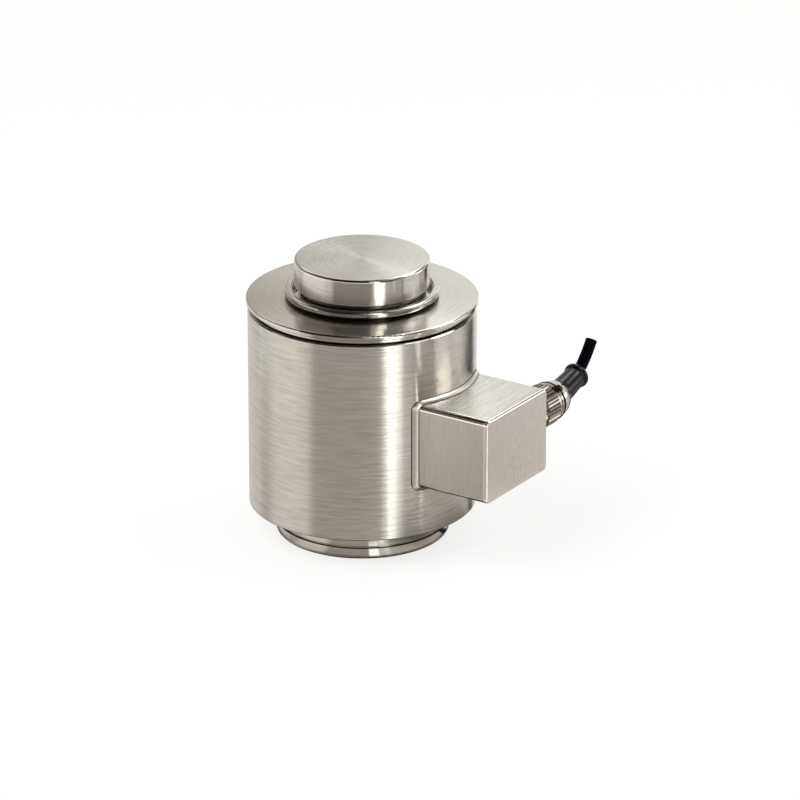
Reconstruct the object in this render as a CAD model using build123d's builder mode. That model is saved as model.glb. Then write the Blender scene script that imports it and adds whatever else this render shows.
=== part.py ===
from build123d import *
from math import asin, cos, degrees, radians, sin, sqrt
import os

# Column load cell, in millimetres. The origin is on the column's axis at the underside of its
# foot. +Z is up, the junction box points along +X and the cable leaves the box along +Y.

# Load column
total_height = 131.0
button_radius = 30.6
button_bottom = 118.6
button_edge = 1.2
neck_radius = 27.5
neck_bottom = 99.0
waist_radius = 24.0
waist_bottom = 33.0
waist_top = 91.0
waist_fillet = 6.0
shank_top = 21.0
foot_radius = 39.5
foot_height = 5.7
foot_round = 1.8
seat_radius = 38.3
seat_height = 6.2
fine_edge = 0.3

# Gauged flats on the waist
gauge_count = 4
gauge_start = 45.0
gauge_height = 62.0
flat_distance = 21.0
flat_width = 30.0
flat_height = 44.0
gauge_size = (0.3, 9.0, 13.0)
terminal_size = (0.6, 9.0, 3.0)
terminal_drop = 11.0

# Casing and its two plates
casing_radius = 51.75
casing_wall = 2.0
casing_bottom = 14.4
casing_top = 107.9
fit_gap = 0.05
plate_radius = 52.5
plate_bottom = 110.7
plate_top = 113.0
plate_neck = 50.0
plate_edge = 0.8
spigot_depth = 3.0
collar_radius = 35.0
collar_bore = 32.2
collar_top = 117.5
collar_step = 114.3
collar_root = 34.0
bottom_plate_height = 4.0
hub_radius = 39.3
hub_bore = 34.0

# Diaphragm in the moat between collar and neck
diaphragm_thickness = 0.5
diaphragm_top = 116.8
diaphragm_floor = 111.0
diaphragm_crest = 113.2
fold_inside = 0.6

# Junction box
box_reach = 83.1
box_width = 50.0
box_bottom = 38.0
box_top = 77.5
box_wall = 2.0
box_round = 2.5
box_bend_inside = 0.5
seam_edge = 0.1
end_round = 0.9
weld_rise = 2.2
weld_side = 1.3
weld_bulge = 0.56
port_radius = 6.0

# Ring board that joins the gauges
ring_board_inner = 36.0
ring_board_outer = 46.0
ring_board_bottom = 26.0
board_thickness = 1.6
post_count = 3
post_start = 90.0
post_circle = 41.0
post_radius = 2.5
wire_radius = 0.6
lead_reach = 4.0
lead_circle = 39.0
lead_drop = 7.0
lead_bend = 3.0

# Wires and board in the box
harness_radius = 2.0
harness_foot = 43.0
harness_bend = 4.0
harness_end = 58.0
bushing_flange = 8.0
bushing_lip = 1.5
board_middle = 67.0
board_length = 24.0
board_width = 40.0
board_bottom = 48.0
standoff_radius = 2.5
standoff_inset = 4.0
resistor_radius = 1.6
resistor_length = 7.0
resistor_spacing = 6.0
pin_radius = 0.7
pin_height = 3.0
pin_pitch = 2.8
pin_row = 10.0

# Cable gland, measured along its axis from the box's side face
gland_x = 69.0
gland_z = 60.1
stem_radius = 6.0
stem_inside = 7.0
seal_thickness = 1.0
hex_across_flats = 19.0
hex_thickness = 5.0
barrel_radius = 8.8
knurl_start = 10.0
knurl_end = 19.6
knurl_radius = 9.75
knurl_count = 40
knurl_depth = 0.45
near_band = (20.0, 21.3)
near_band_radius = 9.45
far_band = (21.8, 23.2)
far_band_radius = 9.15
nose_radius = 7.1
nose_end = 25.2
gland_bore = 3.5
seal_seat_radius = 5.3
seal_seat_start = 19.0
ring_end = 24.9
ring_radius = 8.9
cap_shoulder = 26.8
cap_bore = 3.6
cap_recess = 28.8
cap_flange_end = 26.4
cap_flange_radius = 8.8
cap_shoulder_radius = 8.6
cap_bulge = 0.35
cap_end = 31.5
cap_end_radius = 7.3
cap_mouth_radius = 6.8
nut_thickness = 3.5
nut_across_flats = 17.0

# Cable and its boot
cable_radius = 2.7
cable_fit = 0.1
cable_start = 18.7
cable_bend = 29.8
cable_second_bend = 17.2
cable_third_bend = (0, 8.6, 5.6)
cable_end_point = (-0.3, 14.8, 13.3)
boot_tilt = 14.8
boot_start = 0.7
boot_root_radius = 6.0
boot_waist_radius = 5.3
boot_bead_radius = 6.1
boot_bead_round = 2.2
boot_length = 20.7
boot_collar = 0.5
core_count = 4
core_offset = 1.1
core_radius = 0.55
core_bend = 16.5
core_drop = 3.0
arc_share = 0.45

os.makedirs("parts", exist_ok=True)


def rim(piece, radius, height):
    """The circular edges of a turned piece that have this radius and height."""
    circles = piece.edges().filter_by(GeomType.CIRCLE)
    return [e for e in circles if abs(e.radius - radius) < 0.01 and abs(e.center().Z - height) < 0.01]


def save(piece, name):
    """Name a finished piece and write it to its own file."""
    piece.part.label = name
    export_step(piece.part, f"parts/{name}.step")


# Load column: button, neck, waist with gauge flats, shank and foot, turned from one bar
with BuildPart() as load_column:
    with BuildSketch(Plane.XZ):
        with BuildLine():
            Polyline(
                (0, 0),
                (foot_radius, 0),
                (foot_radius, foot_height),
                (seat_radius, foot_height),
                (seat_radius, seat_height),
                (hub_bore - fit_gap, seat_height),
                (hub_bore - fit_gap, shank_top),
                (waist_radius, waist_bottom),
                (waist_radius, waist_top),
                (neck_radius, neck_bottom),
                (neck_radius, button_bottom),
                (button_radius, button_bottom),
                (button_radius, total_height),
                (0, total_height),
                close=True,
            )
        make_face()
    revolve(axis=Axis.Z)
    waist_ends = rim(load_column, waist_radius, waist_bottom) + rim(load_column, waist_radius, waist_top)
    fillet(waist_ends, waist_fillet)
    fillet(rim(load_column, foot_radius, 0), foot_round)
    chamfer(rim(load_column, foot_radius, foot_height), fine_edge)
    fillet(rim(load_column, button_radius, total_height), button_edge)
    chamfer(rim(load_column, button_radius, button_bottom), fine_edge)
    with Locations((0, 0, gauge_height)):
        with PolarLocations(flat_distance, gauge_count, start_angle=gauge_start):
            Box(
                waist_radius,
                flat_width,
                flat_height,
                align=(Align.MIN, Align.CENTER, Align.CENTER),
                mode=Mode.SUBTRACT,
            )
save(load_column, "load_column")

# Strain gauges: one foil rosette bonded on each flat
with BuildPart() as strain_gauges:
    with Locations((0, 0, gauge_height)):
        with PolarLocations(flat_distance, gauge_count, start_angle=gauge_start):
            Box(*gauge_size, align=(Align.MIN, Align.CENTER, Align.CENTER))
save(strain_gauges, "strain_gauges")

# Gauge terminals: a solder strip under each gauge
with BuildPart() as gauge_terminals:
    with Locations((0, 0, gauge_height - terminal_drop)):
        with PolarLocations(flat_distance, gauge_count, start_angle=gauge_start):
            Box(*terminal_size, align=(Align.MIN, Align.CENTER, Align.CENTER))
save(gauge_terminals, "gauge_terminals")

# Casing: a tube with a round port for the wires, hidden under the box
box_middle = (box_bottom + box_top) / 2
with BuildPart() as casing:
    with BuildSketch(Plane.XY.offset(casing_bottom)):
        Circle(casing_radius)
        Circle(casing_radius - casing_wall, mode=Mode.SUBTRACT)
    extrude(amount=casing_top - casing_bottom)
    outer_ends = rim(casing, casing_radius, casing_bottom) + rim(casing, casing_radius, casing_top)
    chamfer(outer_ends, fine_edge)
    with BuildSketch(Plane.YZ):
        with Locations((0, box_middle)):
            Circle(port_radius)
    extrude(amount=plate_radius, mode=Mode.SUBTRACT)
save(casing, "casing")

# Top plate: a cover with a groove under its rim and a raised collar round the button
casing_bore = casing_radius - casing_wall
with BuildPart() as top_plate:
    with BuildSketch(Plane.XZ):
        with BuildLine():
            Polyline(
                (collar_bore, casing_top - spigot_depth),
                (casing_bore - fit_gap, casing_top - spigot_depth),
                (casing_bore - fit_gap, casing_top),
                (plate_neck, casing_top),
                (plate_neck, plate_bottom),
                (plate_radius, plate_bottom),
                (plate_radius, plate_top),
                (collar_root, plate_top),
                (collar_root, collar_step),
                (collar_radius, collar_step),
                (collar_radius, collar_top),
                (collar_bore, collar_top),
                close=True,
            )
        make_face()
    revolve(axis=Axis.Z)
    fillet(rim(top_plate, plate_radius, plate_top), plate_edge)
    chamfer(rim(top_plate, plate_radius, plate_bottom), fine_edge)
    fillet(rim(top_plate, collar_radius, collar_top), 3 * fine_edge)
    fillet(rim(top_plate, collar_radius, collar_step), 3 * fine_edge)
    fillet(rim(top_plate, collar_bore, collar_top), fine_edge)
save(top_plate, "top_plate")

# Bottom plate: closes the casing round the shank, and its hub stands on the foot's shoulder
with BuildPart() as bottom_plate:
    with BuildSketch(Plane.XZ):
        with BuildLine():
            Polyline(
                (hub_bore, seat_height),
                (hub_radius, seat_height),
                (hub_radius, casing_bottom),
                (casing_bore - fit_gap, casing_bottom),
                (casing_bore - fit_gap, casing_bottom + bottom_plate_height),
                (hub_bore, casing_bottom + bottom_plate_height),
                close=True,
            )
        make_face()
    revolve(axis=Axis.Z)
    chamfer(rim(bottom_plate, hub_radius, seat_height), fine_edge)
    fillet(rim(bottom_plate, hub_radius, casing_bottom), 4 * fine_edge)
save(bottom_plate, "bottom_plate")

# Top diaphragm: a thin folded ring with upturned edges, welded to the collar and the neck
moat_inner = neck_radius + fit_gap
moat_outer = collar_bore - fit_gap
moat_middle = (moat_inner + moat_outer) / 2
fold_outside = fold_inside + diaphragm_thickness
web_top = diaphragm_floor + diaphragm_thickness
with BuildPart() as top_diaphragm:
    with BuildSketch(Plane.XZ) as diaphragm_profile:
        with BuildLine():
            Polyline(
                (moat_inner, diaphragm_top),
                (moat_inner, diaphragm_floor),
                (moat_middle - fold_inside, diaphragm_floor),
                (moat_middle - fold_inside, diaphragm_crest - diaphragm_thickness),
                (moat_middle + fold_inside, diaphragm_crest - diaphragm_thickness),
                (moat_middle + fold_inside, diaphragm_floor),
                (moat_outer, diaphragm_floor),
                (moat_outer, diaphragm_top),
                (moat_outer - diaphragm_thickness, diaphragm_top),
                (moat_outer - diaphragm_thickness, web_top),
                (moat_middle + fold_outside, web_top),
                (moat_middle + fold_outside, diaphragm_crest),
                (moat_middle - fold_outside, diaphragm_crest),
                (moat_middle - fold_outside, web_top),
                (moat_inner + diaphragm_thickness, web_top),
                (moat_inner + diaphragm_thickness, diaphragm_top),
                close=True,
            )
        make_face()
        fillet(diaphragm_profile.vertices(), 0.4 * diaphragm_thickness)
    revolve(axis=Axis.Z)
save(top_diaphragm, "top_diaphragm")

# Ring board under the gauges, and the posts that it stands on
with BuildPart() as bridge_board:
    with BuildSketch(Plane.XY.offset(ring_board_bottom)):
        Circle(ring_board_outer)
        Circle(ring_board_inner, mode=Mode.SUBTRACT)
    extrude(amount=board_thickness)
save(bridge_board, "bridge_board")

with BuildPart() as board_posts:
    with BuildSketch(Plane.XY.offset(casing_bottom + bottom_plate_height)):
        with PolarLocations(post_circle, post_count, start_angle=post_start):
            Circle(post_radius)
    extrude(until=Until.NEXT, target=bridge_board.part)
save(board_posts, "board_posts")

# Gauge leads: from each terminal strip out, down along the column and onto the ring board
terminal_face = flat_distance + terminal_size[0]
terminal_height = gauge_height - terminal_drop
ring_board_top = ring_board_bottom + board_thickness
with BuildPart() as one_lead:
    with BuildLine(Plane.XZ) as lead_route:
        FilletPolyline(
            (terminal_face, terminal_height),
            (terminal_face + lead_reach, terminal_height),
            (lead_circle, ring_board_top + lead_drop),
            (lead_circle, ring_board_top),
            radius=lead_bend,
        )
    with BuildSketch(Plane(origin=lead_route.line @ 0, z_dir=lead_route.line % 0)):
        Circle(wire_radius)
    sweep(path=lead_route.line)
with BuildPart() as gauge_leads:
    with PolarLocations(0, gauge_count, start_angle=gauge_start):
        add(one_lead.part)
save(gauge_leads, "gauge_leads")

# Harness: from the ring board up the casing's wall and through the port into the box
with BuildPart() as box_harness:
    with BuildLine(Plane.XZ) as harness_route:
        FilletPolyline(
            (harness_foot, ring_board_top),
            (harness_foot, box_middle),
            (harness_end, box_middle),
            (harness_end, board_bottom + board_thickness),
            radius=harness_bend,
        )
    with BuildSketch(Plane(origin=harness_route.line @ 0, z_dir=harness_route.line % 0)):
        Circle(harness_radius)
    sweep(path=harness_route.line)
save(box_harness, "box_harness")

# Port bushing: an insulating grommet, with its flange on the inside of the casing
bushing_section = Plane(origin=(0, 0, box_middle), x_dir=(1, 0, 0), z_dir=(0, -1, 0))
bushing_axis = Axis((0, 0, box_middle), (1, 0, 0))
bushing_seat = sqrt(casing_bore**2 - bushing_flange**2)
with BuildPart() as port_bushing:
    with BuildSketch(bushing_section):
        with BuildLine():
            Polyline(
                (bushing_seat - bushing_lip, harness_radius + fit_gap),
                (bushing_seat - bushing_lip, bushing_flange),
                (bushing_seat, bushing_flange),
                (bushing_seat, port_radius - fit_gap),
                (casing_radius, port_radius - fit_gap),
                (casing_radius, harness_radius + fit_gap),
                close=True,
            )
        make_face()
    revolve(axis=bushing_axis)
save(port_bushing, "port_bushing")

# Box shell: sheet folded to a rectangular sleeve, cut to the casing's curve
box_height = box_top - box_bottom
plate_inside = box_reach - box_wall
box_side = box_width / 2
with BuildPart() as box_shell:
    with BuildSketch(Plane.YZ.offset(casing_radius / 2)):
        with Locations((0, box_middle)):
            RectangleRounded(box_width, box_height, box_round)
            RectangleRounded(
                box_width - 2 * box_wall,
                box_height - 2 * box_wall,
                box_bend_inside,
                mode=Mode.SUBTRACT,
            )
    extrude(amount=plate_inside - casing_radius / 2)
    with BuildSketch(Plane.XY):
        Circle(casing_radius + fit_gap)
    extrude(amount=total_height, mode=Mode.SUBTRACT)
    outer_mouth = box_shell.faces().sort_by(Axis.X)[-1].outer_wire().edges()
    chamfer(outer_mouth, seam_edge)
    with BuildSketch(Plane.XZ.offset(-box_side - 1)):
        with Locations((gland_x, gland_z)):
            Circle(stem_radius + fit_gap)
    extrude(amount=box_wall + 2, mode=Mode.SUBTRACT)
save(box_shell, "box_shell")

# Box end plate: closes the sleeve, with a fine seam all round and a rounded outer edge
with BuildPart() as box_end_plate:
    with BuildSketch(Plane.YZ.offset(plate_inside)):
        with Locations((0, box_middle)):
            RectangleRounded(box_width, box_height, box_round)
    extrude(amount=box_wall)
    chamfer(box_end_plate.faces().sort_by(Axis.X)[0].edges(), seam_edge)
    fillet(box_end_plate.faces().sort_by(Axis.X)[-1].edges(), end_round)
save(box_end_plate, "box_end_plate")

# Box weld: a fillet bead round the sleeve, along an arc over and under it and down its sides
weld_angle = degrees(asin((box_side + weld_side) / casing_radius))
weld_start = radians(-weld_angle)
weld_plane = Plane(
    origin=(0, 0, 0),
    x_dir=(cos(weld_start), sin(weld_start), 0),
    z_dir=(sin(weld_start), -cos(weld_start), 0),
)
root_x = sqrt(casing_radius**2 - box_side**2)
toe_x = sqrt(casing_radius**2 - (box_side + weld_side) ** 2)
side_middle_x = weld_bulge * (root_x + weld_side) + (1 - weld_bulge) * toe_x
side_middle = (side_middle_x, -box_side - weld_bulge * weld_side)
with BuildPart() as box_weld:
    with BuildSketch(weld_plane):
        with BuildLine():
            Polyline(
                (casing_radius, box_top + weld_rise),
                (casing_radius - box_wall, box_top + weld_rise),
                (casing_radius - box_wall, box_top - box_round),
                (casing_radius + weld_rise, box_top - box_round),
                (casing_radius + weld_rise, box_top),
            )
            ThreePointArc(
                (casing_radius + weld_rise, box_top),
                (casing_radius + weld_bulge * weld_rise, box_top + weld_bulge * weld_rise),
                (casing_radius, box_top + weld_rise),
            )
        make_face()
    revolve(axis=Axis.Z, revolution_arc=2 * weld_angle)
    with BuildSketch(Plane.XY.offset(box_middle)):
        with BuildLine():
            Polyline(
                (toe_x, -box_side - weld_side),
                (toe_x - box_wall, -box_side - weld_side),
                (toe_x - box_wall, -box_side + box_wall),
                (root_x + weld_side, -box_side + box_wall),
                (root_x + weld_side, -box_side),
            )
            ThreePointArc((root_x + weld_side, -box_side), side_middle, (toe_x, -box_side - weld_side))
        make_face()
    extrude(amount=box_height / 2 + weld_rise)
    mirror(about=Plane.XZ)
    mirror(about=Plane.XY.offset(box_middle))
    with BuildSketch(Plane.YZ.offset(casing_radius / 2)):
        with Locations((0, box_middle)):
            RectangleRounded(
                box_width + 2 * weld_side, box_height + 2 * weld_rise, box_round + weld_side
            )
    extrude(amount=casing_radius, mode=Mode.INTERSECT)
    with BuildSketch(Plane.YZ.offset(casing_radius / 2)):
        with Locations((0, box_middle)):
            RectangleRounded(box_width, box_height, box_round)
    extrude(amount=casing_radius, mode=Mode.SUBTRACT)
    with BuildSketch(Plane.XY):
        Circle(casing_radius)
    extrude(amount=total_height, mode=Mode.SUBTRACT)
save(box_weld, "box_weld")

# Terminal board in the box, on four standoffs
box_floor = box_bottom + box_wall
board_corner_x = board_length - 2 * standoff_inset
board_corner_y = board_width - 2 * standoff_inset
board_top = board_bottom + board_thickness
with BuildPart() as terminal_board:
    with BuildSketch(Plane.XY.offset(board_bottom)):
        with Locations((board_middle, 0)):
            RectangleRounded(board_length, board_width, 2 * fine_edge)
    extrude(amount=board_thickness)
save(terminal_board, "terminal_board")

with BuildPart() as board_standoffs:
    with BuildSketch(Plane.XY.offset(box_floor)):
        with Locations((board_middle, 0)):
            with GridLocations(board_corner_x, board_corner_y, 2, 2):
                Circle(standoff_radius)
    extrude(amount=board_bottom - box_floor)
save(board_standoffs, "board_standoffs")

# Trim resistors: a row of small rolls lying on the board
with BuildPart() as trim_resistors:
    with BuildSketch(Plane.XZ.offset(resistor_length / 2)):
        with Locations((board_middle + resistor_spacing / 2, board_top + resistor_radius)):
            with GridLocations(resistor_spacing, 1, 3, 1):
                Circle(resistor_radius)
    extrude(amount=-resistor_length)
    chamfer(trim_resistors.edges().filter_by(GeomType.CIRCLE), fine_edge)
save(trim_resistors, "trim_resistors")

# Solder pins: one for each core of the cable
with BuildPart() as solder_pins:
    with BuildSketch(Plane.XY.offset(board_top)):
        with Locations((gland_x, pin_row)):
            with GridLocations(pin_pitch, 1, core_count, 1):
                Circle(pin_radius)
    extrude(amount=pin_height)
save(solder_pins, "solder_pins")

# Cable gland. Its profiles are drawn as distance from the box's side face and radius.
gland_section = Plane(origin=(gland_x, box_side, gland_z), x_dir=(0, 1, 0), z_dir=(1, 0, 0))
gland_axis = Axis((gland_x, 0, gland_z), (0, 1, 0))


def gland_plane(distance):
    """The plane across the gland at a distance from the box's side face, facing outwards."""
    return Plane(origin=(gland_x, box_side + distance, gland_z), x_dir=(1, 0, 0), z_dir=(0, 1, 0))


# Gland body: stem through the box wall, hexagon, knurled barrel, two bands and threaded nose
with BuildPart() as gland_body:
    with BuildSketch(gland_section):
        with BuildLine():
            Polyline(
                (-stem_inside, gland_bore),
                (-stem_inside, stem_radius),
                (seal_thickness, stem_radius),
                (seal_thickness, barrel_radius),
                (far_band[1], barrel_radius),
                (far_band[1], nose_radius),
                (nose_end, nose_radius),
                (nose_end, seal_seat_radius),
                (seal_seat_start, seal_seat_radius),
                (seal_seat_start, gland_bore),
                close=True,
            )
        make_face()
    revolve(axis=gland_axis)
    with BuildSketch(gland_plane(seal_thickness)):
        RegularPolygon(hex_across_flats / 2, 6, major_radius=False)
        Circle(stem_radius, mode=Mode.SUBTRACT)
    extrude(amount=hex_thickness)
    with BuildSketch(gland_plane(knurl_start)):
        Circle(knurl_radius)
        with PolarLocations(knurl_radius, knurl_count):
            RegularPolygon(knurl_depth, 4, mode=Mode.SUBTRACT)
        Circle(barrel_radius - 1, mode=Mode.SUBTRACT)
    extrude(amount=knurl_end - knurl_start)
    for (start, end), radius in ((near_band, near_band_radius), (far_band, far_band_radius)):
        with BuildSketch(gland_plane(start)):
            Circle(radius)
            Circle(barrel_radius - 1, mode=Mode.SUBTRACT)
        extrude(amount=end - start)
    band_rims = gland_body.edges().filter_by(GeomType.CIRCLE)
    band_rims = band_rims.filter_by(lambda e: abs(e.radius - near_band_radius) < 0.01)
    chamfer(band_rims, fine_edge)
save(gland_body, "gland_body")

# Face seal under the hexagon, and the lock nut inside the box
with BuildPart() as gland_face_seal:
    with BuildSketch(gland_plane(0)):
        Circle(barrel_radius)
        Circle(stem_radius + fit_gap, mode=Mode.SUBTRACT)
    extrude(amount=seal_thickness)
save(gland_face_seal, "gland_face_seal")

with BuildPart() as gland_lock_nut:
    with BuildSketch(gland_plane(-box_wall - nut_thickness)):
        RegularPolygon(nut_across_flats / 2, 6, major_radius=False)
        Circle(stem_radius + fit_gap, mode=Mode.SUBTRACT)
    extrude(amount=nut_thickness)
save(gland_lock_nut, "gland_lock_nut")

# Rubber seal that grips the cable, and the washer that presses it home
with BuildPart() as gland_seal:
    with BuildSketch(gland_plane(seal_seat_start)):
        Circle(seal_seat_radius - fit_gap)
        Circle(cable_radius + fit_gap, mode=Mode.SUBTRACT)
    extrude(amount=nose_end + fine_edge - seal_seat_start)
save(gland_seal, "gland_seal")

with BuildPart() as gland_washer:
    with BuildSketch(gland_plane(nose_end + fine_edge)):
        Circle(nose_radius - fine_edge)
        Circle(cap_bore, mode=Mode.SUBTRACT)
    extrude(amount=cap_shoulder - nose_end - fine_edge)
save(gland_washer, "gland_washer")

# Gland ring: the black O-ring between body and cap
with BuildPart() as gland_ring:
    with BuildSketch(gland_plane(far_band[1])):
        Circle(ring_radius)
        Circle(nose_radius + fit_gap, mode=Mode.SUBTRACT)
    extrude(amount=ring_end - far_band[1])
    ring_rims = gland_ring.edges().filter_by(GeomType.CIRCLE)
    ring_rims = ring_rims.filter_by(lambda e: e.radius > nose_radius + 1)
    fillet(ring_rims, 0.4 * (ring_end - far_band[1]))
save(gland_ring, "gland_ring")

# Gland cap: a flange, then a dome down to the mouth that holds the boot
dome_middle = (cap_flange_end + cap_end) / 2
dome_bulge = (cap_shoulder_radius + cap_end_radius) / 2 + cap_bulge
with BuildPart() as gland_cap:
    with BuildSketch(gland_section):
        with BuildLine():
            Polyline(
                (cap_end, cap_end_radius),
                (cap_end, cap_mouth_radius),
                (cap_recess, cap_mouth_radius),
                (cap_recess, cap_bore),
                (cap_shoulder, cap_bore),
                (cap_shoulder, nose_radius + fit_gap),
                (ring_end, nose_radius + fit_gap),
                (ring_end, cap_flange_radius),
                (cap_flange_end, cap_flange_radius),
                (cap_flange_end, cap_shoulder_radius),
            )
            ThreePointArc(
                (cap_flange_end, cap_shoulder_radius),
                (dome_middle, dome_bulge),
                (cap_end, cap_end_radius),
            )
        make_face()
    revolve(axis=gland_axis)
save(gland_cap, "gland_cap")

# Cable route: out of the gland, up along the boot's axis and on in a steeper rise to the cut end
rise = radians(boot_tilt)
boot_root = Vector(gland_x, box_side + cable_bend, gland_z)
boot_axis_direction = Vector(0, cos(rise), sin(rise))
second_bend = boot_root + boot_axis_direction * cable_second_bend
cable_points = [
    Vector(gland_x, box_side + cable_start, gland_z),
    boot_root,
    second_bend,
    second_bend + Vector(*cable_third_bend),
    second_bend + Vector(*cable_end_point),
]
print("cable points:", [tuple(round(c, 3) for c in point) for point in cable_points])


def arc_radii(points):
    """The radius at each inner point, as large as the two runs beside it allow."""
    radii = []
    for before, here, after in zip(points, points[1:], points[2:]):
        arriving = here - before
        leaving = after - here
        half_turn = radians(arriving.get_angle(leaving)) / 2
        shorter = min(arriving.length, leaving.length)
        radii.append(arc_share * shorter * cos(half_turn) / sin(half_turn))
    return radii


cable_radii = arc_radii(cable_points)
print("cable arc radii:", [round(r, 1) for r in cable_radii])
print("cable runs:", [round((b - a).length, 1) for a, b in zip(cable_points, cable_points[1:])])
with BuildPart() as cable:
    with BuildLine() as cable_route:
        FilletPolyline(*cable_points, radius=cable_radii)
    with BuildSketch(Plane(origin=cable_route.line @ 0, z_dir=cable_route.line % 0)):
        Circle(cable_radius)
    sweep(path=cable_route.line)
print("cable length:", round(sum(edge.length for edge in cable_route.edges()), 1))
save(cable, "cable")

# Cable boot: a plug in the cap's mouth, and a tapered sleeve that ends in a round bead
boot_section = Plane(origin=boot_root, x_dir=boot_axis_direction, z_dir=(1, 0, 0))
boot_plug_radius = cap_mouth_radius - fit_gap
bead_middle = boot_length - boot_bead_round
bead_centre_radius = boot_bead_radius - boot_bead_round
bead_foot = bead_middle - sqrt(boot_bead_round**2 - (boot_waist_radius - bead_centre_radius) ** 2)
with BuildPart() as cable_boot:
    with BuildSketch(gland_section):
        with BuildLine():
            Polyline(
                (cap_recess, 0),
                (cap_recess, boot_plug_radius),
                (cap_end + boot_collar, boot_plug_radius),
                (cap_end + boot_collar, 0),
                close=True,
            )
        make_face()
    revolve(axis=gland_axis)
    with BuildSketch(boot_section):
        with BuildLine():
            Polyline(
                (bead_foot, boot_waist_radius),
                (boot_start, boot_root_radius),
                (boot_start, 0),
                (boot_length, 0),
                (boot_length, bead_centre_radius),
            )
            ThreePointArc(
                (boot_length, bead_centre_radius),
                (bead_middle, boot_bead_radius),
                (bead_foot, boot_waist_radius),
            )
        make_face()
    revolve(axis=Axis(boot_root, boot_axis_direction))
    with BuildSketch(Plane(origin=cable_route.line @ 0, z_dir=cable_route.line % 0)):
        Circle(cable_radius + cable_fit)
    sweep(path=cable_route.line, mode=Mode.SUBTRACT)
save(cable_boot, "cable_boot")

# Cable cores: from the end of the sheath through the gland's bore and down onto the pins
sheath_end = box_side + cable_start
pin_top = board_top + pin_height
with BuildPart() as cable_cores:
    for side in (-1, 1):
        for level in (-1, 1):
            core_x = gland_x + side * core_offset
            core_z = gland_z + level * core_offset
            pin_x = gland_x + side * (1 + level / 2) * pin_pitch
            with BuildLine() as core_route:
                FilletPolyline(
                    (core_x, sheath_end, core_z),
                    (core_x, core_bend, core_z),
                    (pin_x, pin_row, pin_top + core_drop),
                    (pin_x, pin_row, pin_top),
                    radius=2 * core_radius,
                )
            with BuildSketch(Plane(origin=core_route.line @ 0, z_dir=core_route.line % 0)):
                Circle(core_radius)
            sweep(path=core_route.line)
save(cable_cores, "cable_cores")
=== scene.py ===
# %% [markdown]
# # A column load cell
#
# A load cell is a spring that can be read. A stout steel column stands on its foot, takes the
# load on its raised button, and shortens by a few hundredths of a millimetre. Gauges glued to
# the column's waist, inside the round casing, turn that into a signal. The box on the side holds
# the board that gathers it, and a gland lets the cable out.
#
# The solid model gives every rigid piece its true size and place. This script dresses it: a
# finish for each surface, the soft cable and its boot, the weld bead, and a small studio.

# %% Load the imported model
from math import atan2, cos, pi, radians, sin, tau

import bpy
import numpy as np
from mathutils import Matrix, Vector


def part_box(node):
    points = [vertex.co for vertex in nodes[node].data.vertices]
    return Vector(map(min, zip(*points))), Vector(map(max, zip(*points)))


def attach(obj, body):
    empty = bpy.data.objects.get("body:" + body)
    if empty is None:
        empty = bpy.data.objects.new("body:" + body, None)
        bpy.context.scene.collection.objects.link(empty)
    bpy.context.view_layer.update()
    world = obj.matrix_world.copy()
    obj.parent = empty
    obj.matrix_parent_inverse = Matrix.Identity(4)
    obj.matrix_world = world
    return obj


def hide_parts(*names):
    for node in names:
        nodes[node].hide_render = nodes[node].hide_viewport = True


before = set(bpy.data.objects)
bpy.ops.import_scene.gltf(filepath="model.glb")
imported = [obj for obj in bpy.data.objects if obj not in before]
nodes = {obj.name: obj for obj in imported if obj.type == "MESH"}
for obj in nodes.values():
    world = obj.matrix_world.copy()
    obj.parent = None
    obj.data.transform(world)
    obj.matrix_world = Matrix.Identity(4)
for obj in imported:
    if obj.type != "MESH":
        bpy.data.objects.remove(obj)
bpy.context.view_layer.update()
MM = 0.001
MICRON = 0.000001
column_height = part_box("load_column")[1].z
casing_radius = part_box("casing")[1].x
print(f"{len(nodes)} nodes, {column_height / MM:.1f} mm high, casing radius {casing_radius / MM:.2f} mm")

# %% [markdown]
# ## The camera
#
# A product picture of a round piece is taken from well back with a long lens, so that upright
# walls stay upright and circles stay true ellipses. A short lens close by would also fit the
# frame, but it would splay the walls. The camera's rotation follows from its azimuth and
# elevation, so it needs no constraint.

# %% Camera
camera_azimuth = radians(33.3)
camera_elevation = radians(21.8)
camera_distance = 2.7
camera_lens = 267.8
sensor_width = 36.0
aim_height = 61.9 * MM
aim_sideways = 17.06 * MM

camera_right = np.array([cos(camera_azimuth), sin(camera_azimuth), 0.0])
camera_towards = np.array([sin(camera_azimuth), -cos(camera_azimuth), 0.0])
aim = aim_sideways * camera_right + np.array([0.0, 0.0, aim_height])
sight = camera_towards * cos(camera_elevation) + np.array([0.0, 0.0, sin(camera_elevation)])

camera = bpy.data.objects.new("camera", bpy.data.cameras.new("camera"))
bpy.context.scene.collection.objects.link(camera)
camera.data.sensor_width = sensor_width
camera.data.lens = camera_lens
camera.data.clip_end = 50.0
camera.location = aim + camera_distance * sight
camera.rotation_euler = (pi / 2 - camera_elevation, 0.0, camera_azimuth)
bpy.context.scene.camera = camera
print("camera at", [round(c, 3) for c in camera.location])

# %% [markdown]
# ## Surfaces from grids
#
# Each new piece here is a function of two parameters, worked out for a whole grid at once with
# numpy. One helper turns such a grid into a mesh, and can join its last column or row back to
# its first.

# %% Functions: a mesh from a grid of points


def grid_faces(rows, columns, wrap_rows=False, wrap_columns=False):
    """Four-sided faces of a rows x columns grid: corner, next column, next row and column, next row."""
    row = np.arange(rows if wrap_rows else rows - 1)[:, None]
    column = np.arange(columns if wrap_columns else columns - 1)[None, :]
    next_row = (row + 1) % rows
    next_column = (column + 1) % columns
    corners = [
        row * columns + column,
        row * columns + next_column,
        next_row * columns + next_column,
        next_row * columns + column,
    ]
    return np.stack([c.ravel() for c in corners], axis=1)


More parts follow.
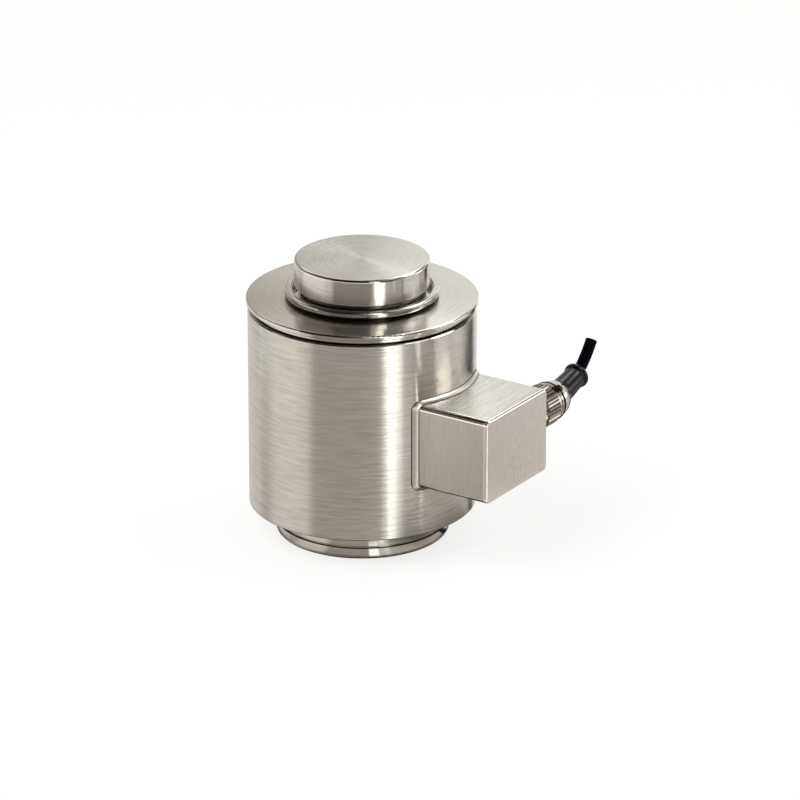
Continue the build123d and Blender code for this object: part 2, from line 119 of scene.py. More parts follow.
def mesh_from_grid(name, points, wrap_rows=False, wrap_columns=False):
    """Make an object from points of shape (rows, columns, 3)."""
    faces = grid_faces(*points.shape[:2], wrap_rows, wrap_columns)
    mesh = bpy.data.meshes.new(name)
    mesh.from_pydata(points.reshape(-1, 3).tolist(), [], faces.tolist())
    mesh.polygons.foreach_set("use_smooth", np.ones(len(mesh.polygons), bool))
    mesh.update()
    piece = bpy.data.objects.new(name, mesh)
    bpy.context.scene.collection.objects.link(piece)
    return piece


def smooth_step(value, low, high):
    """0 below low, 1 above high, and 3t^2 - 2t^3 between, where t runs from 0 to 1."""
    t = np.clip((value - low) / (high - low), 0.0, 1.0)
    return t * t * (3.0 - 2.0 * t)


print("grid helpers ready")

# %% [markdown]
# ## The cable
#
# The cable leaves the gland through its boot, rises a little and is cut off short. It could be
# swept as a solid, but a real cable has no straight runs and no arcs that start suddenly, so its
# middle line is one smooth curve through a few given points. The same points lie under the solid
# model's tube. A bevel of depth 1 gives the curve the thickness that its points have as their
# radius. Blender draws a curve's bounding box that far round it, so left at the usual radius of
# 1 m, the box would say that the piece is two metres wide.

# %% Cable route and sheath
cable_diameter = 5.4 * MM
gland_x = 69.0 * MM
gland_z = 60.1 * MM
route_points = [
    (gland_x, 43.7 * MM, gland_z),
    (gland_x, 54.8 * MM, gland_z),
    (gland_x, 71.429 * MM, 64.494 * MM),
    (gland_x, 80.029 * MM, 70.094 * MM),
    (68.7 * MM, 86.229 * MM, 77.794 * MM),
]


def route_curve(name, radius):
    """One open NURBS spline through the cable's route, thickened to the given radius."""
    curve = bpy.data.curves.new(name, "CURVE")
    curve.dimensions = "3D"
    spline = curve.splines.new("NURBS")
    spline.points.add(len(route_points) - 1)
    spline.points.foreach_set("co", np.array([(*p, 1.0) for p in route_points]).ravel())
    spline.points.foreach_set("radius", np.full(len(route_points), radius))
    spline.order_u = 3
    spline.use_endpoint_u = True
    spline.resolution_u = 24
    curve.bevel_depth = 1.0 if radius > 0 else 0.0
    curve.bevel_resolution = 10
    curve.use_fill_caps = radius > 0
    piece = bpy.data.objects.new(name, curve)
    bpy.context.scene.collection.objects.link(piece)
    return piece


def route_line():
    """The points of the smooth route, read from the spline with no bevel."""
    bare = route_curve("bare_route", 0.0)
    mesh = bpy.data.meshes.new_from_object(bare)
    line = np.zeros(len(mesh.vertices) * 3)
    mesh.vertices.foreach_get("co", line)
    bpy.data.objects.remove(bare)
    bpy.data.meshes.remove(mesh)
    return line.reshape(-1, 3)


cable = route_curve("cable_sheath", cable_diameter / 2)
middle_line = route_line()
cable_length = np.linalg.norm(np.diff(middle_line, axis=0), axis=1).sum()
print(f"the route is {cable_length / MM:.1f} mm long in {len(middle_line)} points")

# %% [markdown]
# ## The boot
#
# The boot is one rubber moulding. A plug sits in the cap's mouth, a sleeve tapers along the
# direction in which the cable leaves, and a round bead ends it. The plug lies square to the
# gland's axis and the sleeve is tilted, so the sleeve's first ring isn't a circle: each of its
# points is moved along the sleeve until it lies on the plug's flat front.

# %% Boot sizes
SIDE = np.array([-1.0, 0.0, 0.0])
gland_way = np.array([0.0, 1.0, 0.0])
boot_root = np.array(route_points[1])
boot_way = np.array(route_points[2]) - boot_root
boot_way /= np.linalg.norm(boot_way)
tilt_cos, tilt_sin = boot_way[1], boot_way[2]

plug_back = 53.8 * MM
plug_front = 57.0 * MM
plug_radius = 6.75 * MM
plug_round = 0.25 * MM
root_radius = 6.0 * MM
waist_radius = 5.3 * MM
bead_radius = 6.1 * MM
bead_round = 2.2 * MM
flare_height = 0.35 * MM
flare_fade = 0.9 * MM
boot_length = 20.7 * MM
cable_fit = 0.1 * MM
bore_radius = cable_diameter / 2 + cable_fit
bead_middle = boot_length - bead_round
bead_centre = bead_radius - bead_round
boot_tilt = np.degrees(np.arctan2(tilt_sin, tilt_cos))
print(f"boot {boot_length / MM:.1f} mm long, tilted {boot_tilt:.1f} degrees")

# %% Functions: rings round a line
segments = 128
turn = np.arange(segments) * tau / segments


def rings(middle, way, radius):
    """Rings of points round a line: middle + radius x (cos a x side + sin a x over), with over =
    way x side. Middle has the shape (rows, 3) or (rows, segments, 3), and so has radius less its 3."""
    over = np.cross(way, SIDE)
    circle = np.cos(turn)[:, None] * SIDE + np.sin(turn)[:, None] * over
    middle = middle if middle.ndim == 3 else middle[:, None]
    radius = radius if radius.ndim == 2 else radius[:, None]
    return middle + radius[:, :, None] * circle


def on_gland(y_values):
    """Points of the gland's axis at these distances along Y."""
    return np.array([[gland_x, y, gland_z] for y in y_values])


print(segments, "points in each ring")

# %% Boot surface
sleeve_rows = 40
bead_rows = 35
bore_rows = 23
plug = rings(
    on_gland([plug_back, plug_back, plug_front - plug_round, plug_front]),
    gland_way,
    np.array([bore_radius, plug_radius, plug_radius, plug_radius - plug_round]),
)
sleeve_start = (plug_front - boot_root[1] + root_radius * np.sin(turn) * tilt_sin) / tilt_cos
bead_foot = bead_middle - np.sqrt(bead_round**2 - (waist_radius - bead_centre) ** 2)
share = np.linspace(0.0, 1.0, sleeve_rows)[:, None]
sleeve_at = sleeve_start + (bead_foot - sleeve_start) * share
root_flare = flare_height * np.exp(-(sleeve_at - sleeve_start) / flare_fade)
taper = smooth_step(sleeve_at, 0.0, bead_foot)
sleeve_radius = root_radius + (waist_radius - root_radius) * taper + root_flare
sleeve = rings(boot_root + sleeve_at[:, :, None] * boot_way, boot_way, sleeve_radius)
foot_angle = np.arcsin((waist_radius - bead_centre) / bead_round)
bead_angle = np.linspace(pi - foot_angle, 0.0, bead_rows + 1)[1:]
bead_at = bead_middle + bead_round * np.cos(bead_angle)
bead = rings(boot_root + bead_at[:, None] * boot_way, boot_way, bead_centre + bead_round * np.sin(bead_angle))
bore_at = np.linspace(boot_root[1] + boot_length * tilt_cos, plug_back, bore_rows + 1)[:-1]
bore_middle = np.stack([np.interp(bore_at, middle_line[:, 1], axis) for axis in middle_line.T], axis=1)
bore = rings(bore_middle, boot_way, np.full(bore_rows, bore_radius))
boot_grid = np.vstack([plug, sleeve, bead, bore])
cable_boot = mesh_from_grid("cable_boot_moulding", boot_grid, wrap_columns=True, wrap_rows=True)
print(f"boot of {len(cable_boot.data.polygons)} faces")

# %% [markdown]
# ## The weld bead
#
# The sleeve of the box meets the round casing along a line that lies on both. Round the sleeve,
# that line has the sleeve's outline for its y and z, and x = sqrt(R^2 - y^2). A bead of weld
# leans on both walls: its one toe is the same outline made larger, and so still on the casing,
# and its other toe lies further out on the sleeve. Between the toes the bead is a blend of the
# straight chord and a quarter of an ellipse, and the welder's steady steps leave a faint ripple.

# %% Weld bead sizes
box_half_width = 25.0 * MM
box_half_height = 19.75 * MM
box_middle_height = 57.75 * MM
box_fold = 2.5 * MM
bead_rise = 2.1 * MM
bead_reach = 1.9 * MM
bead_convex = 0.55
sleeve_tuck = 0.2 * MM
casing_tuck = 0.3 * MM
ripple_height = 0.02 * MM
ripple_pitch = 1.3 * MM
path_count = 640
section_count = 15
print(f"weld {bead_rise / MM:.1f} mm up the casing and {bead_reach / MM:.1f} mm along the sleeve")

# %% Functions: the line where the sleeve meets the casing


def rounded_outline(count):
    """Evenly spaced points of the sleeve's rounded outline, and their outward normals, as y and z.
    Each is a fold's centre + fold x normal + run x way along, where the normal is square to a flat
    side and turns in a bend, and the run along a flat side is 0 in a bend."""
    flat_y, flat_z = box_half_width - box_fold, box_half_height - box_fold
    centres = np.array([[flat_y, -flat_z], [flat_y, flat_z], [-flat_y, flat_z], [-flat_y, -flat_z]])
    quarter = pi / 2 * box_fold
    lengths = np.array([2 * flat_z, quarter, 2 * flat_y, quarter] * 2)
    starts = np.concatenate([[0.0], np.cumsum(lengths)])
    along = np.linspace(0.0, starts[-1], count, endpoint=False)
    part = np.searchsorted(starts, along, side="right") - 1
    inside = along - starts[part]
    side, bent = np.divmod(part, 2)
    way = side * pi / 2
    facing = way + bent * inside / box_fold
    normal = np.stack([np.cos(facing), np.sin(facing)], axis=1)
    run = ((1 - bent) * inside)[:, None] * np.stack([-np.sin(way), np.cos(way)], axis=1)
    return along, centres[(side + bent) % 4] + box_fold * normal + run, normal


def on_casing(outline):
    """Points of the casing's wall over these y and z."""
    x = np.sqrt(casing_radius**2 - outline[:, 0] ** 2)
    return np.stack([x, outline[:, 0], outline[:, 1] + box_middle_height], axis=1)


along_bead, outline, outward = rounded_outline(path_count)
print(f"the weld runs {along_bead[-1] / MM:.0f} mm round the sleeve")

# %% Weld surface
corner = on_casing(outline)
casing_toe = on_casing(outline + bead_rise * outward)
sleeve_toe = corner + [bead_reach, 0.0, 0.0]
to_casing = (casing_toe - corner)[:, None]
to_sleeve = (sleeve_toe - corner)[:, None]
blend = np.linspace(0.0, pi / 2, section_count)
chord_share = blend / (pi / 2)
rounded = np.cos(blend)[:, None] * to_casing + np.sin(blend)[:, None] * to_sleeve
straight_part = (1.0 - chord_share)[:, None] * to_casing + chord_share[:, None] * to_sleeve
profile = bead_convex * rounded + (1.0 - bead_convex) * straight_part
welder_steps = np.sin(along_bead / ripple_pitch * tau)[:, None] * np.sin(2 * blend)
ripple = 1.0 + ripple_height / bead_rise * welder_steps
surface = corner[:, None] + profile * ripple[:, :, None]
into_sleeve = np.pad(sleeve_tuck * outward, ((0, 0), (1, 0)))
into_casing = np.array([casing_tuck, 0.0, 0.0])
hidden_rows = [sleeve_toe - into_sleeve, corner - into_casing - into_sleeve]
weld_rows = [casing_toe - into_casing, *surface.transpose(1, 0, 2), *hidden_rows]
weld_grid = np.stack(weld_rows, axis=1)
weld = mesh_from_grid("box_weld_bead", weld_grid[::-1], wrap_rows=True, wrap_columns=True)
toe = np.zeros(weld_grid.shape[:2])
toe[:, 1 : 1 + section_count] = np.abs(chord_share - 0.5) * 2.0
toe_mark = weld.data.attributes.new("toe", "FLOAT", "POINT")
toe_mark.data.foreach_set("value", toe[::-1].ravel())
print(f"weld of {len(weld.data.polygons)} faces")

# %% [markdown]
# ## The gland's O-ring
#
# A ring of rubber that is squeezed between two metal shoulders swells out of the slot. Its
# section is a flat-sided loop with a round back, turned about the gland's axis.

# %% O-ring
ring_start = 48.2 * MM
ring_end = 49.9 * MM
ring_inner = 7.15 * MM
ring_outer = 9.3 * MM
ring_back = 0.75 * MM
half_ring = (ring_end - ring_start) / 2
back_rows = 17
back = np.linspace(-pi / 2, pi / 2, back_rows)
ring_at = np.concatenate([[ring_start], ring_start + half_ring * (1 + np.sin(back)), [ring_end]])
ring_out = np.concatenate([[ring_inner], ring_outer - ring_back + ring_back * np.cos(back), [ring_inner]])
gland_ring = mesh_from_grid("gland_ring_rubber", rings(on_gland(ring_at), gland_way, ring_out), True, True)
print(f"O-ring {(ring_end - ring_start) / MM:.1f} mm wide")

dressed_pieces = [
    (cable, "cable_sheath", "cable"),
    (cable_boot, "boot_rubber", "cable_boot"),
    (weld, "weld_steel", "box_weld"),
    (gland_ring, "black_rubber", "gland_ring"),
]
for piece, slot, replaced in dressed_pieces:
    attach(piece, "root")
    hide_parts(replaced)
print(len(dressed_pieces), "dressed pieces ride on the body")

# %% [markdown]
# ## Node helpers
#
# Every finish is a small tree of shader nodes. Short functions keep them readable: one adds
# a node with its settings and inputs, one starts a group for an effect that several finishes
# share, and others give the result of a sum, a blend or a noise.

# %% Functions: nodes, groups and materials


def add_node(tree, kind, inputs=None, **settings):
    """Add a shader node. An input given as a socket is linked, and any other value is set on it."""
    node = tree.nodes.new("ShaderNode" + kind)
    for name, value in settings.items():
        setattr(node, name, value)
    for name, value in (inputs or {}).items():
        if isinstance(value, bpy.types.NodeSocket):
            tree.links.new(value, node.inputs[name])
        else:
            node.inputs[name].default_value = value
    return node


def new_group(name, inputs, output, output_kind="Float"):
    """Start a node group with inputs {name: default} and one output. Return the group, the sockets
    that give its inputs inside, and the socket that takes its result."""
    group = bpy.data.node_groups.new(name, "ShaderNodeTree")
    for label, value in inputs.items():
        kind = "NodeSocketFloat" if isinstance(value, float) else "NodeSocketVector"
        group.interface.new_socket(label, in_out="INPUT", socket_type=kind).default_value = value
    group.interface.new_socket(output, in_out="OUTPUT", socket_type="NodeSocket" + output_kind)
    return group, group.nodes.new("NodeGroupInput").outputs, group.nodes.new("NodeGroupOutput").inputs[0]


def use_group(tree, group, inputs):
    """Place a node group in a tree and return its output."""
    return add_node(tree, "Group", inputs, node_tree=group).outputs[0]


def new_finish(name, settings):
    """Start a material with settings for its Principled shader. Return it, its tree and the shader."""
    finish = bpy.data.materials.new(name)
    finish.use_nodes = True
    shader = finish.node_tree.nodes["Principled BSDF"]
    for socket, value in settings.items():
        shader.inputs[socket].default_value = value
    return finish, finish.node_tree, shader


print("node helpers ready")

# %% Functions: results of single nodes
WORLD_X = (1.0, 0.0, 0.0)
WORLD_Y = (0.0, 1.0, 0.0)
WORLD_UP = (0.0, 0.0, 1.0)
ORIGIN = (0.0, 0.0, 0.0)
mix_sockets = {"FLOAT": (2, 3, 0), "VECTOR": (4, 5, 1), "RGBA": (6, 7, 2)}


def place_in(tree):
    """The place of the point in its object's own coordinates, in metres."""
    return add_node(tree, "TexCoord").outputs["Object"]


def normal_in(tree):
    """The surface's normal at the point."""
    return add_node(tree, "NewGeometry").outputs["Normal"]


def vector_math(tree, operation, first, second=None):
    """The result of a Vector Math node. For a length or a dot product, that is a number."""
    inputs = {0: first} if second is None else {0: first, 1: second}
    node = add_node(tree, "VectorMath", inputs, operation=operation)
    return node.outputs["Value" if operation in ("LENGTH", "DOT_PRODUCT") else "Vector"]


def scaled(tree, vector, factor):
    """A vector times a number."""
    return add_node(tree, "VectorMath", {0: vector, "Scale": factor}, operation="SCALE").outputs["Vector"]


def maths(tree, operation, first, second=0.0):
    """The result of a Math node."""
    return add_node(tree, "Math", {0: first, 1: second}, operation=operation).outputs[0]


def remap(tree, value, low, high, to_low, to_high):
    """A value carried linearly from one range to another, and held inside it."""
    inputs = {"Value": value, "From Min": low, "From Max": high, "To Min": to_low, "To Max": to_high}
    return add_node(tree, "MapRange", inputs).outputs["Result"]


def mix(tree, kind, factor, first, second):
    """The result of a Mix node. Each kind of value has two inputs and an output of its own."""
    first_at, second_at, result_at = mix_sockets[kind]
    inputs = {0: factor, first_at: first, second_at: second}
    return add_node(tree, "Mix", inputs, data_type=kind).outputs[result_at]


def noise(tree, place, scale, detail, **others):
    """The value of a Noise Texture with so many grains in a metre, which lies about 0.5."""
    inputs = {"Vector": place, "Scale": scale, "Detail": detail, **others}
    return add_node(tree, "TexNoise", inputs).outputs["Fac"]


def bumped(tree, height, depth):
    """The normal of a surface that this height, from 0 to 1, raises by up to depth metres."""
    return add_node(tree, "Bump", {"Height": height, "Distance": depth, "Strength": 1.0}).outputs["Normal"]


print("result helpers ready")

# %% [markdown]
# ## Lines left by the tool
#
# A lathe tool or an abrasive belt leaves fine lines that all run one way. They are long, thin and
# uneven. Noise that is squeezed across the lines and drawn out along them looks just so. On
# turned pieces the lines run round the axis, so the noise is read at (direction from the axis,
# radius + height): the first part turns slowly with the angle and has no seam, and the second
# part changes quickly across the lines, on a flat end and on a wall alike. The result is 0 at the
# bottom of a line and 1 on the metal between.

# %% Group: drawn-out noise
fine_squeeze = (2.1, 2.1, 3.7)
fine_share = 0.6
line_bottom = 0.55
line_top = 1.05

tree, given, result = new_group("drawn_lines", {"Vector": ORIGIN}, "Lines")
coarse = noise(tree, given["Vector"], 1.0, 3.0, Roughness=0.65)
fine_place = vector_math(tree, "MULTIPLY", given["Vector"], fine_squeeze)
fine = noise(tree, fine_place, 1.0, 2.0, Roughness=0.6)
both = maths(tree, "ADD", coarse, maths(tree, "MULTIPLY", fine, fine_share))
tree.links.new(remap(tree, both, line_bottom, line_top, 0.0, 1.0), result)
line_group = tree
print(f"drawn-out noise of {len(tree.nodes)} nodes")

# %% Group: lines round an axis
tree, given, result = new_group(
    "turned_lines",
    {"Centre": ORIGIN, "Axis": WORLD_UP, "Round": 3.0, "Across": 1200.0, "Shift": 0.0},
    "Lines",
)
from_centre = vector_math(tree, "SUBTRACT", place_in(tree), given["Centre"])
height = vector_math(tree, "DOT_PRODUCT", from_centre, given["Axis"])
along_axis = scaled(tree, given["Axis"], height)
outwards = vector_math(tree, "SUBTRACT", from_centre, along_axis)
radius = vector_math(tree, "LENGTH", outwards)
travel = maths(tree, "ADD", maths(tree, "ADD", radius, height), given["Shift"])
across = maths(tree, "MULTIPLY", travel, given["Across"])
direction = vector_math(tree, "NORMALIZE", outwards)
round_part = scaled(tree, direction, given["Round"])
across_part = scaled(tree, given["Axis"], across)
where = vector_math(tree, "ADD", round_part, across_part)
tree.links.new(use_group(tree, line_group, {"Vector": where}), result)
turned_group = tree
print(f"lines round an axis from {len(tree.nodes)} nodes")

# %% [markdown]
# A line isn't only up and down: the metal beside it leans a little along the line too, which is
# why the border of a highlight on brushed steel is ragged. A group leans the normal by a small
# share of the grain's direction.

# %% Group: leaning normal
tree, given, result = new_group(
    "leaning_normal",
    {"Normal": WORLD_UP, "Grain": WORLD_X, "Lines": 0.5, "Amount": 0.02},
    "Normal",
    "Vector",
)
off_middle = maths(tree, "SUBTRACT", given["Lines"], 0.5)
swing = maths(tree, "MULTIPLY", off_middle, given["Amount"])
sideways = scaled(tree, given["Grain"], swing)
leaning = vector_math(tree, "ADD", given["Normal"], sideways)
tree.links.new(vector_math(tree, "NORMALIZE", leaning), result)
lean_group = tree
print(f"leaning normal from {len(tree.nodes)} nodes")

# %% [markdown]
# Edges come off the machine with a light deburring and shine more than the faces. A group finds
# them from the surface's tilt against an axis: walls lie along the axis and flat ends square to
# it, and what lies between is a chamfer or a fold.

# %% Group: polished edge
edge_rise = (0.08, 0.2)
edge_fall = (0.96, 0.995)

tree, given, result = new_group("polished_edge", {"Axis": WORLD_UP}, "Edge")
tilt = vector_math(tree, "DOT_PRODUCT", normal_in(tree), given["Axis"])
steepness = maths(tree, "ABSOLUTE", tilt)
rises = remap(tree, steepness, *edge_rise, 0.0, 1.0)
falls = remap(tree, steepness, *edge_fall, 1.0, 0.0)
tree.links.new(maths(tree, "MULTIPLY", rises, falls), result)
edge_group = tree
print(f"polished edge from {len(tree.nodes)} nodes")

# %% [markdown]
# Hands and cloths leave faint dull clouds on bare metal and on rubber. They are a warped noise,
# whose size each finish chooses.

# %% Group: handling marks
mark_range = (0.4, 0.7)

tree, given, result = new_group("handling_marks", {"Size": 40.0}, "Marks")
cloud = noise(tree, place_in(tree), given["Size"], 4.0, Roughness=0.55, Distortion=0.6)
tree.links.new(remap(tree, cloud, *mark_range, 0.0, 1.0), result)
smudge_group = tree
print(f"handling marks from {len(tree.nodes)} nodes")

# %% [markdown]
# Where two pieces meet there is a gap like a dark hair, and shade falls into it. The solid pieces
# touch, so this shade is painted into the colour as a dark line instead of cut: a group finds the
# points whose height and whose distance from the column's axis both lie in a narrow band. It paints
# the same shade in the grooves round the plates, on the foot's edge at the floor, and along the
# lower fold of the box.

# %% Group: painted shade line
shade_line_labels = ("Height", "Half height", "Radius", "Half radius")
shade_line_border = (0.9, 1.1)

shade_line_defaults = dict.fromkeys(shade_line_labels, 1.0 * MM)
tree, given, result = new_group("painted_shade_line", shade_line_defaults, "Seam")
parts = add_node(tree, "SeparateXYZ", {0: place_in(tree)}).outputs
level_part = add_node(tree, "CombineXYZ", {"X": parts["X"], "Y": parts["Y"]}).outputs[0]
axis_distance = vector_math(tree, "LENGTH", level_part)
near = []
for value, middle, half in ((parts["Z"], "Height", "Half height"), (axis_distance, "Radius", "Half radius")):
    off = maths(tree, "ABSOLUTE", maths(tree, "SUBTRACT", value, given[middle]))
    halves_off = maths(tree, "DIVIDE", off, given[half])
    near.append(remap(tree, halves_off, *shade_line_border, 1.0, 0.0))
tree.links.new(maths(tree, "MULTIPLY", *near), result)
shade_line_group = tree
print(f"dark seam from {len(tree.nodes)} nodes")

# %% [markdown]
# ## Steel finishes
#
# Stainless steel shows no colour of its own beyond a faint warmth: what is seen is the room,
# smeared across the tool's lines. The smear is what makes a turned face shine in a bow tie and a
# brushed tube in upright bands. Principled's anisotropy does it, if its tangent points across the
# lines. That tangent is the cross product of the grain's direction with the surface's normal.

# %% Functions: the grain's direction
end_limit = 0.7


def grain_round(tree, centre, axis):
    """Unit vector that runs round an axis at each point: axis x (place - centre)."""
    from_centre = vector_math(tree, "SUBTRACT", place_in(tree), centre)
    return vector_math(tree, "NORMALIZE", vector_math(tree, "CROSS_PRODUCT", axis, from_centre))


def grain_over_fold(tree):
    """Unit vector along the grain of the box: X x normal, which runs round its folds. The end plate
    faces along X and has no such direction, so there it is Y x normal, which is upright."""
    facing = normal_in(tree)
    along = maths(tree, "ABSOLUTE", vector_math(tree, "DOT_PRODUCT", facing, WORLD_X))
    is_end = maths(tree, "GREATER_THAN", along, end_limit)
    chosen = mix(tree, "VECTOR", is_end, WORLD_X, WORLD_Y)
    return vector_math(tree, "NORMALIZE", vector_math(tree, "CROSS_PRODUCT", chosen, facing))


print(f"a face within {np.degrees(np.arccos(end_limit)):.0f} degrees of X is an end")

# %% Functions: steel
steel_colours = ((0.58, 0.55, 0.505, 1.0), (0.67, 0.645, 0.60, 1.0))
# painted shade: the near-black colour of the lines of shade in gaps, grooves and folds
painted_shade_colour = (0.012, 0.011, 0.01, 1.0)
steel_mark_size = 35.0
mark_darkness = 0.06
mark_roughness = 0.02
bottom_roughness = 1.15
top_roughness = 0.85
edge_roughness = 0.05


def steel_colour(tree, lines, marks, colours, shade_lines):
    """Dark in the lines and light between them, a little darker in the marks, and painted black in the shade
    lines, which stand for shade in gaps, grooves and folds.
    """
    dark, light = colours
    colour = mix(tree, "RGBA", lines, dark, light)
    colour = mix(tree, "RGBA", maths(tree, "MULTIPLY", marks, mark_darkness), colour, dark)
    for shade_line in shade_lines:
        band = {label: size * MM for label, size in zip(shade_line_labels, shade_line)}
        colour = mix(tree, "RGBA", use_group(tree, shade_line_group, band), colour, painted_shade_colour)
    return colour


def steel_roughness(tree, lines, marks, roughness, edge_axis):
    """Rougher in the lines and in the marks, and smooth on the edges, if there is an edge_axis."""
    rough = remap(tree, lines, 0.0, 1.0, roughness * bottom_roughness, roughness * top_roughness)
    rough = maths(tree, "ADD", rough, maths(tree, "MULTIPLY", marks, mark_roughness))
    if edge_axis is None:
        return rough
    edge = use_group(tree, edge_group, {"Axis": edge_axis})
    return mix(tree, "FLOAT", edge, rough, edge_roughness)


def steel(name, tool_marks, roughness, smear, depth, lean, edge_axis=None, colours=steel_colours, shade_lines=()):
    """Steel with lines. Tool_marks are two functions: the first adds the nodes that give the lines'
    direction, the second those that give the lines. Smear draws the highlights out across them,
    depth is their height in metres, and lean is how far they tilt the normal along themselves."""
    grain, lines_from = tool_marks
    settings = {"Base Color": colours[1], "Roughness": roughness, "Metallic": 1.0, "Anisotropic": smear}
    finish, tree, shader = new_finish(name, settings)
    direction = grain(tree)
    lines = lines_from(tree)
    marks = use_group(tree, smudge_group, {"Size": steel_mark_size})
    leaning = {"Normal": bumped(tree, lines, depth), "Grain": direction, "Lines": lines, "Amount": lean}
    results = {
        "Base Color": steel_colour(tree, lines, marks, colours, shade_lines),
        "Roughness": steel_roughness(tree, lines, marks, roughness, edge_axis),
        "Normal": use_group(tree, lean_group, leaning),
        "Tangent": vector_math(tree, "CROSS_PRODUCT", direction, normal_in(tree)),
    }
    for socket, result in results.items():
        tree.links.new(result, shader.inputs[socket])
    return finish


print("steel ready")

# %% [markdown]
# The column and its two plates come off a lathe with fine feed lines. The casing is a rolled tube
# brushed round with a belt: coarser lines, broken every few centimetres. The box is bent from
# sheet brushed before folding, so its grain runs round the fold, and upright on its end plate.
# Each pair of colours is the one in the lines and the one between them. The box is lighter than
# the turned pieces, and its end plate lighter still, which is painted light. The gland is nickel
# plate in two copies: a darker one on its body, washer and nut, which is painted shade, and the
# light steel colours on its cap, which is painted light.

# %% Functions: marks of the tools
column_axis = (ORIGIN, WORLD_UP)
gland_axis = ((gland_x, 0.0, gland_z), WORLD_Y)


def turned(axis, round_turns, across, shift=0.0):
    """The two functions that steel() needs for lines round an axis."""
    values = {"Centre": axis[0], "Axis": axis[1], "Round": round_turns, "Across": across, "Shift": shift}
    return (lambda tree: grain_round(tree, *axis)), (lambda tree: use_group(tree, turned_group, values))


def straight(squeeze):
    """The two functions that steel() needs for the box's straight lines, read at place x squeeze."""

    def lines_from(tree):
        squeezed = vector_math(tree, "MULTIPLY", place_in(tree), squeeze)
        return use_group(tree, line_group, {"Vector": squeezed})

    return grain_over_fold, lines_from


print("gland's axis at", gland_axis[0])

# %% Turned steel
# height, half height, radius and half radius of each line of painted shade, in millimetres
foot_edge = (0.35, 0.75, 38.6, 1.4)
hub_joint = (5.7, 0.4, 39.4, 0.6)
plate_groove = (108.3, 0.55, 50.6, 0.9)
collar_groove = (113.65, 0.66, 34.2, 0.5)

column_colours = ((0.545, 0.52, 0.48, 1.0), (0.68, 0.655, 0.61, 1.0))
lathe = {"roughness": 0.16, "smear": 0.93, "depth": 3 * MICRON, "lean": 0.01, "edge_axis": WORLD_UP}
feed_lines = turned(column_axis, 1.6, 1500.0)
thin_lines = turned(column_axis, 2.0, 1500.0, 0.7)
column_shade_lines = [hub_joint, foot_edge]
column_steel = steel("column_steel", feed_lines, **lathe, colours=column_colours, shade_lines=column_shade_lines)
plate_steel = steel("plate_steel", feed_lines, **lathe, shade_lines=[plate_groove, collar_groove])
base_steel = steel("base_plate_steel", feed_lines, **lathe, shade_lines=[hub_joint])
thin_steel = steel("thin_steel", thin_lines, roughness=0.15, smear=0.5, depth=5 * MICRON, lean=0.03)
print("turned steel, roughness", lathe["roughness"])

# %% Brushed and folded steel
# lines of painted shade under the casing's bottom edge and along the box's lower fold, in the same columns as
# above
casing_foot = (14.4, 0.4, 51.5, 1.0)
lower_fold = (38.9, 0.6, 70.0, 22.0)

casing_colours = ((0.50, 0.475, 0.435, 1.0), (0.70, 0.675, 0.63, 1.0))
box_colours = ((0.68, 0.65, 0.605, 1.0), (0.775, 0.75, 0.705, 1.0))
# painted light: the end plate is given a lighter copy of the box's steel
lit_end_colours = ((0.88, 0.85, 0.805, 1.0), (0.96, 0.93, 0.885, 1.0))
casing_belt = {"roughness": 0.22, "smear": 1.0, "depth": 10 * MICRON, "lean": 0.02, "edge_axis": WORLD_UP}
shell_belt = {**casing_belt, "roughness": 0.25}
end_belt = {**shell_belt, "edge_axis": WORLD_X}
belt_lines = turned(column_axis, 3.2, 900.0, 0.3)
shell_lines = straight((1100.0, 35.0, 35.0))
end_lines = straight((35.0, 1100.0, 35.0))
casing_steel = steel("casing_steel", belt_lines, **casing_belt, colours=casing_colours, shade_lines=[casing_foot])
shell_steel = steel("box_shell_steel", shell_lines, **shell_belt, colours=box_colours, shade_lines=[lower_fold])
end_steel = steel("box_end_steel", end_lines, **end_belt, colours=lit_end_colours)
print("brushed steel, roughness", shell_belt["roughness"])

# %% Gland and weld
# painted shade: the gland's body, washer and nut get a darker copy of its plating
shaded_gland_colours = ((0.2, 0.175, 0.155, 1.0), (0.45, 0.415, 0.375, 1.0))
gland_lines = turned(gland_axis, 1.5, 2500.0)
weld_lines = turned(column_axis, 4.0, 500.0, 0.9)
plating = {"smear": 0.3, "depth": 2 * MICRON, "lean": 0.01}
gland_metal = steel("gland_metal", gland_lines, roughness=0.08, **plating, colours=shaded_gland_colours)
# painted light: the cap keeps the light steel colours beside the darker body
cap_metal = steel("gland_cap_metal", gland_lines, roughness=0.1, **plating)
weld_steel = steel("weld_steel", weld_lines, roughness=0.34, smear=0.2, depth=4 * MICRON, lean=0.01)
print("plated gland and weld")

# %% [markdown]
# Along both toes, in the corners where the bead meets the walls, shade is painted as a dark line.
# The bead's points carry a value called toe, 0 on its crown and 1 at its toes, and the finish is
# painted dark where it is high.

# %% Painted shade at the weld's toes
toe_shade_start = 0.62
toe_shade_full = 0.84
toe_shade_colour = (0.07, 0.05, 0.04, 1.0)

tree = weld_steel.node_tree
base_socket = tree.nodes["Principled BSDF"].inputs["Base Color"]
plain = base_socket.links[0].from_socket
toe_value = add_node(tree, "Attribute", attribute_name="toe").outputs["Fac"]
# painted shade: the base colour goes toward the dark toe colour as toe rises
toe_shade = remap(tree, toe_value, toe_shade_start, toe_shade_full, 0.0, 1.0)
tree.links.new(mix(tree, "RGBA", toe_shade, plain, toe_shade_colour), base_socket)

